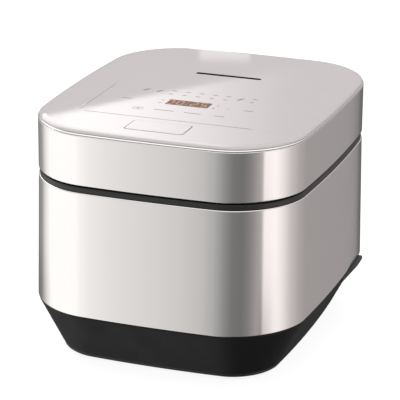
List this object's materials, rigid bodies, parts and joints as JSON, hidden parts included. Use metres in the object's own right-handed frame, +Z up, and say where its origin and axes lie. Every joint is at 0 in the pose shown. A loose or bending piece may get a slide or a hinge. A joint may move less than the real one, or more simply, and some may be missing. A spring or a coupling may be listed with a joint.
{
  "type": "rice cooker",
  "caption": "Induction rice cooker with a hinged lid, push-button latch, lift-out inner pot, tapered base and rear mains inlet.",
  "frame": {"origin": "on the table, under the middle of the case", "axes": "+Z up; -Y is the front with the release button; +X is the right side seen from the front"},
  "size_m": [0.2598, 0.3061, 0.2208],
  "materials": {
    "satin_steel": "fine satin champagne-silver sheet, clear coated",
    "bright_trim": "bright bead",
    "panel_gloss": "glossy pale panel, faint printed key marks",
    "charcoal_plastic": "fine moulded texture",
    "black_plastic": "fine moulded texture",
    "grey_plastic": "plain moulded",
    "rubber": "matt",
    "silicone": "soft, satin",
    "steel": "plated",
    "aluminium": "satin",
    "pot_coating": "dark non-stick coating on a clad aluminium pot",
    "winding": "enamelled copper strand",
    "ferrite": "sintered, matt",
    "circuit_board": "solder mask",
    "display_amber": "segment display behind a clear window"
  },
  "bodies": {
    "root": {"base_screw_front_left": "steel", "base_screw_front_right": "steel", "base_screw_rear_left": "steel", "base_screw_rear_right": "steel", "base_skirt": "charcoal_plastic", "body_shell": "satin_steel", "bottom_plate": "black_plastic", "coil_carrier": "grey_plastic", "fan_housing": "black_plastic", "ferrite_bar_1": "ferrite", "ferrite_bar_2": "ferrite", "ferrite_bar_3": "ferrite", "ferrite_bar_4": "ferrite", "foot_front_left": "rubber", "foot_front_right": "rubber", "foot_rear_left": "rubber", "foot_rear_right": "rubber", "heat_sink": "aluminium", "hinge_bracket": "black_plastic", "hinge_pin": "steel", "hinge_spring_left": "steel", "hinge_spring_right": "steel", "induction_coil_bottom": "winding", "induction_coil_side": "winding", "inlet_socket": "black_plastic", "inner_pot": "pot_coating", "latch_catch": "steel", "pot_well": "grey_plastic", "power_board": "circuit_board", "power_lead": "black_plastic", "sensor_housing": "grey_plastic", "sensor_spring": "steel", "side_bumper_left": "black_plastic", "side_bumper_right": "black_plastic", "support_post_front_left": "grey_plastic", "support_post_front_right": "grey_plastic", "support_post_rear_left": "grey_plastic", "support_post_rear_right": "grey_plastic", "top_deck": "charcoal_plastic"},
    "lid": {"lid_shell": "satin_steel", "lid_trim_ring": "bright_trim", "lid_top_panel": "panel_gloss", "lid_frame": "grey_plastic", "hinge_arm_left": "black_plastic", "hinge_arm_right": "black_plastic", "inner_lid": "aluminium", "lid_gasket": "silicone", "steam_valve": "grey_plastic", "lid_sensor": "steel", "steam_duct": "black_plastic", "control_board": "circuit_board", "display_module": "display_amber", "button_housing": "grey_plastic", "button_spring": "steel", "latch_pin": "steel", "latch_bracket": "black_plastic"},
    "latch_hook": {"latch_hook": "steel"},
    "lid_button": {"lid_button": "panel_gloss"},
    "bottom_sensor": {"bottom_sensor": "aluminium"},
    "fan_rotor": {"fan_rotor": "black_plastic"}
  },
  "joints": [
    {"name": "lid_hinge", "type": "hinge", "parent": "root", "child": "lid", "pos_m": [0, 0.1415, 0.19], "axis": [-1, 0, 0], "range_deg": [0, 85]},
    {"name": "button_press", "type": "slide", "parent": "lid", "child": "lid_button", "axis": [0, 0, -1], "range_m": [0, 0.0025], "stiffness_N_per_m": 400, "springref_m": -0.002, "deforming": ["button_spring"]},
    {"name": "hook_pivot", "type": "hinge", "parent": "lid", "child": "latch_hook", "pos_m": [0, -0.135, 0.198], "axis": [-1, 0, 0], "range_deg": [0, 6.6]},
    {"name": "sensor_press", "type": "slide", "parent": "root", "child": "bottom_sensor", "axis": [0, 0, -1], "range_m": [0, 0.003], "stiffness_N_per_m": 300, "springref_m": -0.003, "deforming": ["sensor_spring"]},
    {"name": "fan_spin", "type": "hinge", "parent": "root", "child": "fan_rotor", "pos_m": [-0.046, 0.062, 0.0145], "axis": [0, 0, 1], "continuous": true}
  ],
  "couplings": [
    {"joint": "hook_pivot", "follows": "button_press", "rad_per_m": 45.6}
  ]
}
